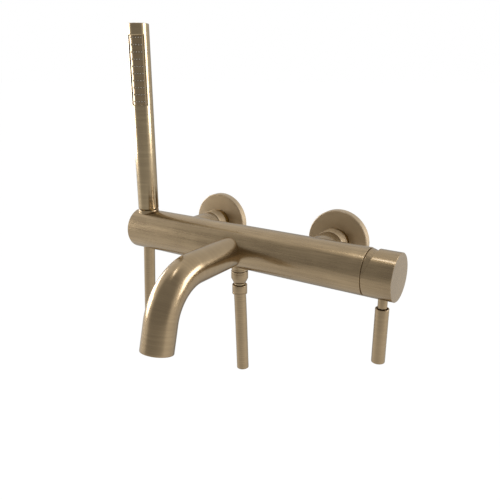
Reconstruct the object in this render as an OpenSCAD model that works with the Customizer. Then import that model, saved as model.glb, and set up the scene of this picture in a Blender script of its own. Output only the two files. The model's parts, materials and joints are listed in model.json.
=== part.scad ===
// Exposed bath and shower mixer for wall mounting, in millimetres.
// The wall is the plane y = 0 and the object stands out from it towards -Y, with +Z up.
// The origin lies midway between the two threads that screw into the wall.

/* [Wall connection] */
// Distance between the two water inlets
inlet_spacing = 150; // [140:1:190]
// Distance of the mixer's axis from the wall
body_reach = 76.2; // [70:0.2:110]
// Offset of the eccentric unions: the mixer's axis above the wall threads
union_offset = 12; // [8:0.5:13]
// Diameter of the wall threads
wall_thread_d = 20.96; // [20.9:0.02:21]
// Length of each thread in the wall
wall_thread_len = 14; // [10:0.5:20]
// Diameter of the threads that the union nuts run on
union_thread_d = 26.4; // [26.4:0.1:28]
// Diameter of the wall flanges
flange_d = 65.2; // [56:0.2:80]
// Depth of the wall flanges
flange_h = 7.8; // [6.8:0.2:12]
// Diameter of the union nuts
union_nut_d = 31.2; // [30.4:0.2:36]
// Length of the union nuts
union_nut_len = 12; // [11:0.5:14]

/* [Mixer body] */
// Diameter of the body
body_d = 43.5; // [43:0.5:56]
// Length of the body to the left of its middle
body_left = 135.3; // [130:0.1:190]
// Length of the body to the right of its middle
body_right = 136.4; // [134:0.1:190]
// Diameter of the two bosses behind the body
boss_d = 30.4; // [28:0.2:31]
// Bevel along the sharp outer edges
edge = 0.4; // [0.2:0.1:0.8]

/* [Cartridge] */
// Diameter of the cartridge
cartridge_d = 34.9; // [34.5:0.1:35]
// Height of the cartridge and its rings inside the body
cartridge_depth = 30.4; // [30.2:0.1:36]
// Diameter of the ceramic disc that stands still
fixed_disc_d = 28; // [27:0.5:29]
// Diameter of the ceramic disc that slides
moving_disc_d = 24.6; // [22:0.2:25]
// Width of the square stem
stem_w = 8.4; // [7:0.1:8.6]

/* [Handle] */
// Open seam between the body and the handle cap
seam = 1.4; // [1:0.1:2]
// Length of the handle cap
cap_len = 26.1; // [25:0.1:34]
// How far the cap's rim is cut back at the top, so that it can tilt
cap_relief = 6.7; // [6.5:0.1:8]
// Distance of the tilting pivot inside the body's right end
pivot_inset = 4; // [3.6:0.1:4.4]
// Distance of the lever's axis from the cap's end face
lever_inset = 12.6; // [10:0.1:13]
// Diameter of the lever's neck
neck_d = 8.5; // [6:0.1:9]
// Length of the neck that shows between the cap and the lever
neck_gap = 9.3; // [5:0.1:14]
// Diameter of the lever
lever_d = 12.3; // [11:0.1:16]
// Length of the lever
lever_len = 52.4; // [40:0.2:90]

/* [Spout] */
// Outside diameter of the spout
spout_d = 30.1; // [30:0.1:34]
// Wall of the spout
spout_wall = 3; // [2.6:0.1:4]
// Length of the straight run, from the body's axis
spout_straight = 72.2; // [60:0.2:140]
// Radius of the bend
spout_bend = 48.6; // [40:0.2:70]
// Angle of the bend
spout_angle = 75; // [45:1:90]
// Length of the straight end
spout_end = 25.8; // [22:0.2:60]
// How far the spout's axis lies below the body's axis
spout_drop = 1.5; // [0:0.1:2]

/* [Shower outlet] */
// Diameter of the collar under the body
nipple_d = 16.6; // [15:0.1:17]
// Diameter of the hose nut
hose_nut_d = 17.4; // [16.4:0.1:20]
// Diameter of the ferrule on the hose
ferrule_d = 15.5; // [15.2:0.1:17]
// Diameter of the shower hose
hose_d = 12.6; // [11:0.1:12.8]

/* [Hand shower] */
// Distance of the hand shower's axis from the body's left end
handset_inset = 13.1; // [13:0.1:20]
// Diameter of the hand shower
handset_d = 22.1; // [21.8:0.1:26]
// Length of the hand shower's tube
handset_len = 189.3; // [150:0.1:260]
// Height of the holder's rim above the body's axis
holder_rim = 22.9; // [22.4:0.1:28]
// Dark gap between the holder and the hand shower
handset_gap = 1; // [0.4:0.1:1.4]
// Length of the spray plate
spray_len = 69.6; // [66:0.1:90]
// Distance from the top of the hand shower to the spray plate
spray_inset = 10.1; // [6:0.1:30]
// Width of the opening for the spray plate
spray_w = 17.2; // [14.4:0.2:17.6]
// Turn of the spray plate from straight ahead towards the mixer's middle, in degrees
spray_turn = 25; // [-180:1:180]
// Rows of nozzles
nozzle_rows = 10; // [4:1:10]
// Distance between the rows of nozzles
nozzle_pitch = 6.87; // [5:0.01:6.9]
// Diameter of each nozzle's tip
nozzle_d = 1.7; // [1.4:0.1:2.2]

/* [Hidden] */
$fn = 96;

bronze = "#94805f";
brass = "#c2a25a";
steel = "#b9bcbf";
rubber = "#26262a";
ceramic = "#e8e4da";
plastic = "#d8d6d0";
hose_colour = "#8e7c5d";

// Clearances: a sliding or turning fit, a seated fit, and the gap of loose pieces
run = 0.05;
seat = 0.1;
loose = 0.3;
// How far a cutter stands past the face that it cuts
past = 1;

// Wall connection, as distances from the wall
thread_past = 1;
union_face = 21.3;
union_wall_side = 0.4;
elbow_top = 4.3;
elbow_wall = 1;
elbow_shoulder = 0.7;
union_bore_d = 20;
elbow_bore_d = 15;
inlet_seal_h = 2;
tail_collar_h = 2.1;
tail_collar_d = 24.8;
tail_neck_d = 20.8;
tail_spigot_d = 17;
tail_spigot_len = 16;
tail_bore_d = 12;
nut_back = union_face - 5.8;
nut_front = nut_back + union_nut_len;
nut_lip = 2;
boss_face = nut_front + 0.6;
flange_plate = 2.2;
flange_rim = 2;
flange_hub_d = 32.4;
rim_bevel = 1;

// Mixer body
body_r = body_d / 2;
boss_end = body_reach - boss_face;
inlet_bore_d = 13;
inlet_bore_end = 7;
gallery_d = 26;
gallery_left = inlet_spacing / 2 + 17;
gallery_right = 12;
passage_d = 7.5;
hot_y = 4;
hot_z = 12.4;
hot_drop_x = inlet_spacing / 2 + 15;
hot_drop_y = 6;
cold_cross_z = -2.2;
mixed_y = -10.5;
mixed_z = 9.5;
mixed_cross_x = 5;
mixed_drop_y = -13;

// Cartridge, along X
floor_x = body_right - cartridge_depth;
cartridge_bore_d = cartridge_d + 2 * seat;
base_h = 5;
base_seal_h = 1.2;
base_seal_w = 1.4;
fixed_disc_h = 3;
moving_disc_h = 3.5;
carrier_h = 4;
carrier_d = 20;
disc_offset = 1.7;
port_d = 6;
port_r = 7.4;
mixed_port = 90;
hot_port = -30;
cold_port = -150;
cup_d = 29;
cup_h = 17.5;
rotor_d = 22;
rotor_flange_d = 27;
rotor_flange_h = 1.6;
rotor_flange_gap = 0.2;
housing_top = body_right - 7.4;
neck_top = body_right + 0.6;
housing_neck_d = 26;
pivot_x = body_right - pivot_inset;
ball_d = 15;
stem_len = 18.6;
finger_d = 5;
finger_tip_d = 6;
finger_x = floor_x + base_h + fixed_disc_h + moving_disc_h + finger_tip_d / 2 + 0.2;
pin_d = 3;
pin_len = 20;
stem_slot_low = -4.7;
stem_slot_high = 6.3;
finger_slot_low = -7.4;
finger_slot_high = 3.8;
ring_d = 38.4;
ring_h = 5.2;
ring_collar_d = 34;
ring_collar_len = 6.6;
ring_bore_d = 26.6;

// Handle
cap_rear = body_right + seam;
cap_end = cap_rear + cap_len;
cap_rim_wall = 0.3;
cavity_r = norm([cap_rear - pivot_x, body_r - cap_rim_wall]);
dome_r = cavity_r - loose;
dome_wall = 1.8;
dome_start = body_right + 1.2;
bonnet_neck_d = body_d - 3.1;
bonnet_start = body_right + seat;
bonnet_mouth_d = 27;
bonnet_end = pivot_x + dome_r;
relief_angle = atan(cap_relief / body_r);
socket_boss_d = 14;
socket_boss_x = pivot_x + 10.6;
socket_end = pivot_x + stem_len + 1;
cap_screw_x = pivot_x + 15.2;
cap_screw_d = 5;
cap_screw_len = 5;
cap_screw_hex = 2.5;
lever_x = cap_end - lever_inset;
neck_seat_d = 9.2;
neck_seat_z = -(body_r - 0.6);
neck_thread_d = 6;
neck_thread_len = 4.5;
lever_top = -(body_r + neck_gap);
lever_recess_d = 10.4;
lever_recess_h = 2.6;
lever_edge = 0.6;

// Spout
spout_r = spout_d / 2;
spout_root_len = 17;
spout_end_grow = 0.04;
spout_end_lap = 0.5;
spout_tip_y = -(spout_straight + spout_bend * sin(spout_angle) + spout_end * cos(spout_angle));
spout_tip_z = -(spout_drop + spout_bend * (1 - cos(spout_angle)) + spout_end * sin(spout_angle));
spout_nipple_d = 17;
spout_nipple_bore = 10.8;
spout_seat_y = -19.6;
spout_nipple_end = -(body_r + spout_root_len - 1);
spout_seal_h = 2;
aerator_d = 25.9;
aerator_h = 11;
aerator_inset = 1;
aerator_wall = 2.2;
aerator_lip = 1;
aerator_seal_h = 1.6;
aerator_hole_d = 1.8;
aerator_hole_rings = 4;

// Diverter, along Y behind the body's middle
diverter_bore_d = 14.2;
diverter_spot_d = 18.4;
diverter_spot_y = body_r - 1.15;
diverter_stem_d = 4.8;
gland_front = 9.5;
gland_flange_h = 2.4;
gland_flange_d = 17.8;
gland_back = diverter_spot_y + gland_flange_h;
sleeve_front = -8;
sleeve_bore_d = 10.6;
sleeve_port_d = 7;
piston_front = -7.8;
piston_h = 3.6;
diverter_seal_y = -14.5;
diverter_seal_h = 2;
diverter_seal_d = 12.6;
diverter_flange_d = 9;
diverter_flange_h = 1;
button_d = 17.8;
button_wall = 1.5;
button_skirt_y = gland_back + 6;
button_floor_y = button_skirt_y + 4;
button_end_y = button_floor_y + 8;
button_socket = 5;
spring_wire = 0.9;
spring_coil_d = 10.4;
spring_turns = 4;
spring_steps = 16;
spring_sides = 8;

// Shower outlet, heights from the body's axis
outlet_passage_d = 10;
nipple_thread_d = 14;
nipple_top = -10;
nipple_seat = -(body_r - 3.7);
nipple_bottom = -(body_r + 3.7);
nipple_bore = 9.6;
nipple_male_d = 13.2;
nipple_male_end = nipple_bottom - 9;
nut_top = nipple_bottom - loose;
nut_taper = nut_top - 7.8;
nut_bottom = nut_taper - 5.2;
nut_end_d = 12.4;
nut_inner_end = nut_bottom + 1.7;
nut_hole_d = 9.4;
outlet_seal_h = 1.3;
tail_head_top = nipple_male_end - 0.1 - outlet_seal_h;
tail_head_d = 12.8;
tail_shaft_d = 9.2;
tail_neck_top = nut_bottom - 0.2;
tail_shoulder_d = 11.8;
ferrule_top = nut_bottom - 2.1;
ferrule_len = 9.9;
ferrule_bore = hose_d + 2 * 0.35;
ferrule_web = ferrule_top - 1.2;
ferrule_web_h = 0.9;
ferrule_web_hole = 8.6;

// Hand shower and its holder
handset_x = -(body_left - handset_inset);
handset_z = holder_rim + handset_gap;
handset_r = handset_d / 2;
handset_wall = 1.45;
handset_top_wall = 2;
collar_bottom = 4;
bush_bottom = -16;
bush_d = 20;
cone_top = holder_rim - 0.1;
cone_bottom = collar_bottom + 0.3;
cone_top_d = 17.4;
cone_bottom_d = 14.9;
cone_thread_d = 14;
cone_thread_end = cone_bottom + 5.5;
cone_hole_d = 8;
cone_seal_h = 1.2;
tail_insert_len = 20;
handset_bore_d = 8;
core_start = 22;
core_top_gap = 2.3;
spray_top = handset_len - spray_inset;
spray_sunk = 0.95;
spray_gap = 0.5;
spray_back = -3.5;
spray_plate_wall = 1.1;
mat_wall = 1.35;
mat_margin = 1.3;
chamber_margin = 1.5;
chamber_back = -2;
nozzle_angles = [-32, -16, 0, 16, 32];
nozzle_proud = 0.4;
nozzle_gap = 0.15;
nozzle_row_start = spray_top - 3.3;

// Route of each hose, top end first, on the hose's own axis
hose_sides = 12;
outlet_route = [
    [0, -76.2, -31], [0.2, -76.2, -38], [0.6, -76.2, -46], [1, -76.2, -56],
    [1.4, -76.2, -66], [1.8, -76.2, -76], [2.1, -76.2, -86], [2.5, -76.2, -96],
    [2.8, -76.2, -106], [3.1, -76.2, -115], [3.4, -76.2, -124]];
handset_route = [
    [-123.1, -76.2, 16.3], [-123.7, -76.2, 6], [-124.3, -76.2, -4], [-124.9, -76.2, -14],
    [-125.5, -76.2, -24], [-126.1, -76.2, -34], [-126.7, -76.2, -44], [-127.3, -76.2, -54],
    [-127.9, -76.2, -64], [-128.5, -76.2, -74], [-129.1, -76.2, -84], [-129.7, -76.2, -94],
    [-130.3, -76.2, -104], [-130.9, -76.2, -114], [-131.5, -76.2, -124]];
hose_lean = atan(0.06);
guide_bore_d = hose_d + 0.8;

// ---- Placing and shaping helpers ----

// Puts the body's own frame in place: its axis runs along X at y = 0, z = 0
module at_axis() translate([0, -body_reach, union_offset]) children();

// A rod along X, from x0 to x1
module rod_x(x0, x1, d, y = 0, z = 0)
    translate([x0, y, z]) rotate([0, 90, 0]) cylinder(h = x1 - x0, d = d);

// A rod along Y, from y0 to y1
module rod_y(y0, y1, d, x = 0, z = 0)
    translate([x, y0, z]) rotate([-90, 0, 0]) cylinder(h = y1 - y0, d = d);

// A rod along Z, from z0 to z1
module rod_z(z0, z1, d, x = 0, y = 0)
    translate([x, y, z0]) cylinder(h = z1 - z0, d = d);

// A rod along Z with bevelled ends
module bevelled_rod_z(z0, z1, d, bevel) {
    rod_z(z0 + bevel, z1 - bevel, d);
    translate([0, 0, z1 - bevel]) cylinder(h = bevel, d1 = d, d2 = d - 2 * bevel);
    translate([0, 0, z0]) cylinder(h = bevel, d1 = d - 2 * bevel, d2 = d);
}

// A rod along X with bevelled ends
module bevelled_rod_x(x0, x1, d, bevel)
    rotate([0, 90, 0]) bevelled_rod_z(x0, x1, d, bevel);

// Frame of one inlet: its axis runs along -Y from the wall, which is z = 0 here
module at_inlet(side)
    translate([side * inlet_spacing / 2, 0, union_offset]) rotate([90, 0, 0]) children();

// Frame of the spout's mouth: +Z runs up into the spout
module at_spout_tip()
    at_axis() translate([0, spout_tip_y, spout_tip_z])
        rotate([spout_angle - 90, 0, 0]) children();

// Frame of the hand shower: +Z runs up its axis from its lower end
module at_handset()
    at_axis() translate([handset_x, 0, handset_z]) rotate([0, 0, spray_turn]) children();

// Frame of the tilting pivot in the handle
module at_pivot() at_axis() translate([pivot_x, 0, 0]) children();

// A ball round the pivot, with its poles on the handle's axis
module pivot_ball(r) translate([pivot_x, 0, 0]) rotate([0, 90, 0]) sphere(r = r);

// A bent solid run of the spout; its straight end laps over the bend by a hair
module spout_run(d) {
    rod_y(-spout_straight, 0, d, z = -spout_drop);
    translate([0, -spout_straight, -spout_drop - spout_bend])
        rotate([90, 0, 90]) rotate([0, 0, 90]) {
            rotate_extrude(angle = spout_angle) translate([spout_bend, 0]) circle(d = d);
            rotate([0, 0, spout_angle])
                rod_y(-spout_end_lap, spout_end, d + spout_end_grow, x = spout_bend);
        }
}

// A flat ring along Z
module ring_z(z0, z1, d, hole)
    difference() {
        rod_z(z0, z1, d);
        rod_z(z0 - past, z1 + past, hole);
    }

// A round tube that hangs nearly straight down through the points of its route
module hanging_tube(route, d, sides) {
    rings = len(route);
    points = [for (p = route, i = [0 : sides - 1])
        p + d / 2 * [cos(i * 360 / sides), sin(i * 360 / sides), 0]];
    walls = [for (k = [0 : rings - 2], i = [0 : sides - 1]) let (j = (i + 1) % sides)
        [k * sides + i, k * sides + j, (k + 1) * sides + j, (k + 1) * sides + i]];
    top = [[for (i = [sides - 1 : -1 : 0]) i]];
    bottom = [[for (i = [0 : sides - 1]) (rings - 1) * sides + i]];
    polyhedron(points = points, faces = concat(walls, top, bottom), convexity = 4);
}

// ---- Wall connection ----

module union(side) {
    color(brass) at_inlet(side) difference() {
        group() {
            rod_z(union_wall_side, union_face, union_thread_d);
            translate([0, -union_offset, 0]) {
                rod_z(-wall_thread_len, elbow_top, wall_thread_d);
                rod_z(0, elbow_top, wall_thread_d + 2 * elbow_shoulder);
            }
        }
        rod_z(union_wall_side + elbow_wall, union_face + past, union_bore_d);
        translate([0, -union_offset, 0])
            rod_z(-wall_thread_len - past, elbow_top - elbow_wall, elbow_bore_d);
    }
}

// Cup that screws onto the union and hides the hole in the wall
module flange(side) {
    hub_bottom = elbow_top + 0.2;
    color(bronze) at_inlet(side) difference() {
        group() {
            difference() {
                group() {
                    rod_z(0, flange_h - rim_bevel, flange_d);
                    translate([0, 0, flange_h - rim_bevel])
                        cylinder(h = rim_bevel, d1 = flange_d, d2 = flange_d - 2 * rim_bevel);
                }
                rod_z(-past, flange_h - flange_plate, flange_d - 2 * flange_rim);
            }
            rod_z(hub_bottom, flange_h, flange_hub_d);
        }
        rod_z(-past, flange_h + past, union_thread_d + 2 * seat);
    }
}

module union_nut(side) {
    color(bronze) at_inlet(side) difference() {
        bevelled_rod_z(nut_back, nut_front, union_nut_d, edge);
        rod_z(nut_back - past, nut_front - nut_lip, union_thread_d + 2 * run);
        rod_z(nut_back - past, nut_front + past, tail_neck_d + 2 * seat);
    }
}

// Threaded tail that carries the union nut on the body's boss
module inlet_tail(side) {
    collar_back = union_face + inlet_seal_h;
    color(brass) at_inlet(side) difference() {
        group() {
            rod_z(collar_back, collar_back + tail_collar_h, tail_collar_d);
            rod_z(collar_back, boss_face, tail_neck_d);
            rod_z(collar_back, boss_face + tail_spigot_len, tail_spigot_d);
        }
        rod_z(collar_back - past, boss_face + tail_spigot_len + past, tail_bore_d);
    }
}

// Washer with a strainer across it, between the union and the tail
module inlet_seal(side) {
    strainer_h = 0.4;
    color(rubber) at_inlet(side) translate([0, 0, union_face]) {
        ring_z(0, inlet_seal_h, tail_collar_d, tail_bore_d);
        rod_z((inlet_seal_h - strainer_h) / 2, (inlet_seal_h + strainer_h) / 2, tail_bore_d);
    }
}

// ---- Mixer body ----

module body_outside() {
    bevelled_rod_x(-body_left, body_right, body_d, edge);
    for (side = [-1, 1])
        rod_y(0, boss_end, boss_d, x = side * inlet_spacing / 2);
}

module waterways() {
    for (side = [-1, 1]) {
        rod_y(inlet_bore_end, boss_end + past, inlet_bore_d, x = side * inlet_spacing / 2);
        rod_y(boss_end - tail_spigot_len - seat, boss_end + past, tail_spigot_d + 2 * run,
            x = side * inlet_spacing / 2);
    }
    hot_passage();
    cold_passage();
    mixed_passage();
    rod_z(nipple_top - past, -diverter_bore_d / 4, outlet_passage_d);
}

// From the left inlet's gallery over the diverter and down to the cartridge
module hot_passage() {
    port_y = port_r * cos(hot_port);
    port_z = port_r * sin(hot_port);
    rod_x(-gallery_left, -gallery_right, gallery_d);
    rod_x(-gallery_right - past, hot_drop_x, passage_d, y = hot_y, z = hot_z);
    rod_z(port_z, hot_z, passage_d, x = hot_drop_x, y = hot_drop_y);
    rod_x(hot_drop_x, floor_x, passage_d, y = port_y, z = port_z);
    port(floor_x - past, floor_x + past, hot_port);
}

// From the right inlet across to the front of the cartridge
module cold_passage() {
    port_y = port_r * cos(cold_port);
    port_z = port_r * sin(cold_port);
    rod_y(port_y, inlet_bore_end + past, passage_d, x = inlet_spacing / 2, z = cold_cross_z);
    rod_x(inlet_spacing / 2, floor_x, passage_d, y = port_y, z = port_z);
    port(floor_x - past, floor_x + past, cold_port);
}

// From the cartridge back to the front of the diverter's chamber
module mixed_passage() {
    port_z = port_r * sin(mixed_port);
    rod_y(mixed_y, 0, port_d, x = floor_x - mixed_cross_x, z = port_z);
    rod_x(0, floor_x - mixed_cross_x, passage_d, y = mixed_y, z = mixed_z);
    rod_z(-spout_drop, mixed_z, passage_d, y = mixed_drop_y);
    port(floor_x - mixed_cross_x, floor_x + past, mixed_port);
}

module diverter_bores() {
    translate([0, 0, -spout_drop]) {
        rod_y(spout_seat_y, body_r + past, diverter_bore_d);
        rod_y(diverter_spot_y, body_r + past, diverter_spot_d);
        rod_y(-body_r - past, spout_seat_y, spout_nipple_d + 2 * run);
    }
}

module outlet_bores() {
    rod_z(nipple_seat, nipple_top, nipple_thread_d + 2 * run);
    rod_z(-body_r - past, nipple_seat, nipple_d + 2 * run);
}

module cartridge_bores() {
    rod_x(floor_x, body_right + past, cartridge_bore_d);
    rod_x(housing_top, body_right + past, ring_d + 2 * run);
}

// The sloping bore that the hose hangs through, along the hose's own axis
module hose_bore(d, z_top, z_bottom) {
    start = handset_route[0] - [0, -body_reach, union_offset];
    translate(start) rotate([0, hose_lean, 0])
        rod_z(z_bottom - start[2], z_top - start[2], d);
}

module holder_bores() {
    translate([handset_x, 0, 0]) {
        rod_z(collar_bottom, body_r + past, handset_d + 2 * run);
        rod_z(bush_bottom, collar_bottom + past, bush_d + 2 * run);
    }
    hose_bore(guide_bore_d + 2 * loose, 0, -body_r - past);
}

module valve_body() {
    color(bronze) at_axis() difference() {
        body_outside();
        waterways();
        diverter_bores();
        outlet_bores();
        cartridge_bores();
        holder_bores();
    }
}

// ---- Cartridge ----

// One port round the cartridge's axis; angle 0 points along +Y
module port(x0, x1, angle, d = port_d)
    rod_x(x0, x1, d, y = port_r * cos(angle), z = port_r * sin(angle));

// The three openings that line up from the body's floor to the ceramic discs
module ports(x0, x1, d = port_d)
    for (angle = [hot_port, cold_port, mixed_port]) port(x0, x1, angle, d);

module base_seals() {
    color(rubber) at_axis() difference() {
        ports(floor_x, floor_x + base_seal_h, port_d + 2 * base_seal_w);
        ports(floor_x - past, floor_x + base_seal_h + past);
    }
}

module cartridge_base() {
    color(plastic) at_axis() difference() {
        rod_x(floor_x, floor_x + base_h, cartridge_d);
        ports(floor_x - past, floor_x + base_seal_h, port_d + 2 * base_seal_w);
        ports(floor_x, floor_x + base_h + past);
    }
}

module fixed_disc() {
    bottom = floor_x + base_h;
    color(ceramic) at_axis() difference() {
        rod_x(bottom, bottom + fixed_disc_h, fixed_disc_d);
        ports(bottom - past, bottom + fixed_disc_h + past);
    }
}

// Disc with a blind pocket that joins the ports as it slides
module moving_disc() {
    bottom = floor_x + base_h + fixed_disc_h;
    pocket_d = 12;
    pocket_h = 2;
    color(ceramic) at_axis() difference() {
        rod_x(bottom, bottom + moving_disc_h, moving_disc_d, z = disc_offset);
        rod_x(bottom - past, bottom + pocket_h, pocket_d, z = 2 * disc_offset);
    }
}

module disc_carrier() {
    bottom = floor_x + base_h + fixed_disc_h + moving_disc_h;
    color(plastic) at_axis() difference() {
        rod_x(bottom, bottom + carrier_h, carrier_d, z = disc_offset);
        rod_x(bottom - past, bottom + carrier_h + past, finger_tip_d + 2 * loose);
    }
}

module cartridge_housing() {
    bottom = floor_x + base_h;
    color(plastic) at_axis() difference() {
        group() {
            rod_x(bottom, housing_top, cartridge_d);
            rod_x(bottom, neck_top, housing_neck_d);
        }
        rod_x(bottom - past, floor_x + cup_h, cup_d);
        rod_x(bottom, neck_top + past, rotor_d + 2 * run);
    }
}

// Turns with the handle and carries the tilting stem on a pin
module cartridge_rotor() {
    bottom = floor_x + cup_h - rotor_flange_h - rotor_flange_gap;
    slot_w = stem_w + 2 * loose;
    color(plastic) at_axis() difference() {
        group() {
            rod_x(bottom, bottom + rotor_flange_h, rotor_flange_d);
            rod_x(bottom, neck_top, rotor_d);
        }
        rod_y(-ball_d / 2 - loose, ball_d / 2 + loose, ball_d + 2 * loose, x = pivot_x);
        translate([pivot_x, -slot_w / 2, stem_slot_low])
            cube([stem_len, slot_w, stem_slot_high - stem_slot_low]);
        translate([bottom - past, -finger_tip_d / 2 - loose, finger_slot_low])
            cube([pivot_x - bottom + past, finger_tip_d + 2 * loose,
                finger_slot_high - finger_slot_low]);
        rod_y(-rotor_d, rotor_d, pin_d, x = pivot_x);
    }
}

module stem_pin() {
    color(steel) at_axis() rod_y(-pin_len / 2, pin_len / 2, pin_d, x = pivot_x);
}

// Square stem with a ball at the pivot and a finger that slides the disc
module cartridge_stem() {
    color(steel) at_axis() difference() {
        group() {
            pivot_ball(ball_d / 2);
            translate([pivot_x, -stem_w / 2, -stem_w / 2]) cube([stem_len, stem_w, stem_w]);
            rod_x(finger_x, pivot_x, finger_d);
            translate([finger_x, 0, 0]) sphere(d = finger_tip_d);
        }
        rod_y(-ball_d, ball_d, pin_d + 2 * run, x = pivot_x);
    }
}

// Threaded ring that holds the cartridge down and carries the bonnet
module clamp_ring() {
    bottom = housing_top + seat;
    color(brass) at_axis() difference() {
        group() {
            rod_x(bottom, bottom + ring_h, ring_d);
            rod_x(bottom, bottom + ring_h + ring_collar_len, ring_collar_d);
        }
        rod_x(bottom - past, bottom + ring_h + ring_collar_len + past, ring_bore_d);
    }
}

// ---- Handle ----

// Domed ring that fills the seam; its dome is centred on the pivot
module bonnet() {
    collar_end = housing_top + seat + ring_h + ring_collar_len + 0.2;
    color(bronze) at_axis() difference() {
        group() {
            rod_x(bonnet_start, dome_start + past, bonnet_neck_d);
            intersection() {
                pivot_ball(dome_r);
                rod_x(dome_start, bonnet_end, body_d);
            }
        }
        rod_x(bonnet_start - past, collar_end, ring_collar_d + 2 * run);
        intersection() {
            pivot_ball(dome_r - dome_wall);
            rod_x(collar_end - seat, bonnet_end, body_d);
        }
        rod_x(bonnet_start - past, bonnet_end + past, bonnet_mouth_d);
    }
}

// Everything on the body's side of the slanted relief at the cap's top
module cap_relief_cut() {
    translate([cap_rear, 0, 0]) rotate([0, relief_angle, 0])
        translate([-body_d, -body_d, 0]) cube([body_d, 2 * body_d, 2 * body_d]);
}

module handle_cap() {
    color(bronze) at_axis() difference() {
        group() {
            difference() {
                group() {
                    rod_x(cap_rear, cap_end - edge, body_d);
                    translate([cap_end - edge, 0, 0]) rotate([0, 90, 0])
                        cylinder(h = edge, d1 = body_d, d2 = body_d - 2 * edge);
                }
                pivot_ball(cavity_r);
            }
            rod_x(socket_boss_x, pivot_x + cavity_r + past, socket_boss_d);
        }
        cap_relief_cut();
        translate([socket_boss_x - past, -stem_w / 2 - run, -stem_w / 2 - run])
            cube([socket_end - socket_boss_x + past, stem_w + 2 * run, stem_w + 2 * run]);
        rod_y(0, body_r + past, cap_screw_d + 2 * run, x = cap_screw_x);
        rod_z(-body_r - past, neck_seat_z, neck_seat_d, x = lever_x);
        rod_z(-body_r, neck_seat_z + neck_thread_len + seat, neck_thread_d + 2 * run,
            x = lever_x);
    }
}

// Grub screw that locks the cap to the stem, reached from behind
module cap_screw() {
    start = stem_w / 2 + run;
    color(steel) at_axis() difference() {
        rod_y(start, start + cap_screw_len, cap_screw_d, x = cap_screw_x);
        translate([cap_screw_x, start + cap_screw_len / 2, 0]) rotate([-90, 0, 0])
            cylinder(h = cap_screw_len, d = cap_screw_hex, $fn = 6);
    }
}

module lever_neck() {
    color(bronze) at_axis() {
        rod_z(neck_seat_z, neck_seat_z + neck_thread_len, neck_thread_d, x = lever_x);
        rod_z(lever_top - lever_recess_h, neck_seat_z, neck_d, x = lever_x);
        rod_z(lever_top - lever_recess_h - neck_thread_len, neck_seat_z, neck_thread_d,
            x = lever_x);
    }
}

module lever_stick() {
    color(bronze) at_axis() translate([lever_x, 0, 0]) difference() {
        bevelled_rod_z(lever_top - lever_len, lever_top, lever_d, lever_edge);
        rod_z(lever_top - lever_recess_h, lever_top + past, lever_recess_d);
        rod_z(lever_top - lever_recess_h - neck_thread_len - seat, lever_top,
            neck_thread_d + 2 * run);
    }
}

// ---- Spout ----

// Threaded tube that holds the spout on the body, and the seat of the diverter
module spout_nipple() {
    color(brass) at_axis() translate([0, 0, -spout_drop]) difference() {
        rod_y(spout_nipple_end, spout_seat_y, spout_nipple_d);
        rod_y(spout_nipple_end - past, spout_seat_y + past, spout_nipple_bore);
    }
}

module spout_seal() {
    color(rubber) at_axis() translate([0, 0, -spout_drop]) difference() {
        rod_y(spout_nipple_end - spout_seal_h, spout_nipple_end, spout_nipple_d);
        rod_y(spout_nipple_end - spout_seal_h - past, spout_nipple_end + past,
            spout_nipple_bore);
    }
}

module spout_tube() {
    bore = spout_d - 2 * spout_wall;
    root_end = -(body_r + spout_root_len + spout_seal_h);
    color(bronze) difference() {
        at_axis() difference() {
            spout_run(spout_d);
            rod_x(-spout_d, spout_d, body_d + 2 * run);
            intersection() {
                spout_run(bore);
                translate([-spout_d, spout_tip_y - spout_d, spout_tip_z - spout_d])
                    cube([2 * spout_d, root_end - spout_tip_y + spout_d,
                        spout_d * 2 - spout_tip_z]);
            }
            translate([0, 0, -spout_drop]) {
                rod_y(spout_nipple_end - spout_seal_h - seat, 0, spout_nipple_d + 2 * run);
                rod_y(root_end - past, 0, spout_nipple_bore);
            }
        }
        at_spout_tip() rod_z(-past, 0, spout_d + past);
        at_spout_tip() rod_z(-past, aerator_inset + aerator_h + aerator_seal_h,
            aerator_d + 2 * run);
    }
}

module aerator_shell() {
    color(bronze) at_spout_tip() translate([0, 0, aerator_inset]) difference() {
        rod_z(0, aerator_h, aerator_d);
        rod_z(aerator_lip, aerator_h + past, aerator_d - 2 * aerator_wall);
        rod_z(-past, aerator_h, aerator_d - 2 * aerator_wall - 2 * aerator_lip);
    }
}

// Perforated disc that mixes air into the water
module aerator_insert() {
    insert_d = aerator_d - 2 * aerator_wall - 2 * seat;
    spacing = 2.3;
    color(plastic) at_spout_tip() translate([0, 0, aerator_inset + aerator_lip]) difference() {
        rod_z(0, aerator_h - aerator_lip, insert_d);
        rod_z(-past, aerator_h, aerator_hole_d);
        for (ring = [1 : aerator_hole_rings - 1], k = [0 : 6 * ring - 1])
            rotate([0, 0, k * 60 / ring]) translate([ring * spacing, 0, -past])
                cylinder(h = aerator_h + past, d = aerator_hole_d, $fn = 24);
    }
}

module aerator_seal() {
    color(rubber) at_spout_tip() translate([0, 0, aerator_inset + aerator_h])
        ring_z(0, aerator_seal_h, aerator_d, aerator_d - 2 * aerator_wall);
}

// ---- Diverter ----

module at_diverter() at_axis() translate([0, 0, -spout_drop]) children();

// Sleeve that the stem's piston closes; its lower port leads to the hose
module diverter_sleeve() {
    color(plastic) at_diverter() difference() {
        rod_y(sleeve_front, gland_front - seat, diverter_bore_d - 2 * seat);
        rod_y(sleeve_front - past, gland_front + past, sleeve_bore_d);
        rod_z(-diverter_bore_d, 0, sleeve_port_d);
    }
}

module diverter_gland() {
    color(brass) at_diverter() difference() {
        group() {
            rod_y(gland_front, gland_back, diverter_bore_d - 2 * run);
            rod_y(diverter_spot_y, gland_back, gland_flange_d);
        }
        rod_y(gland_front - past, gland_back + past, diverter_stem_d + 2 * run);
    }
}

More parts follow.
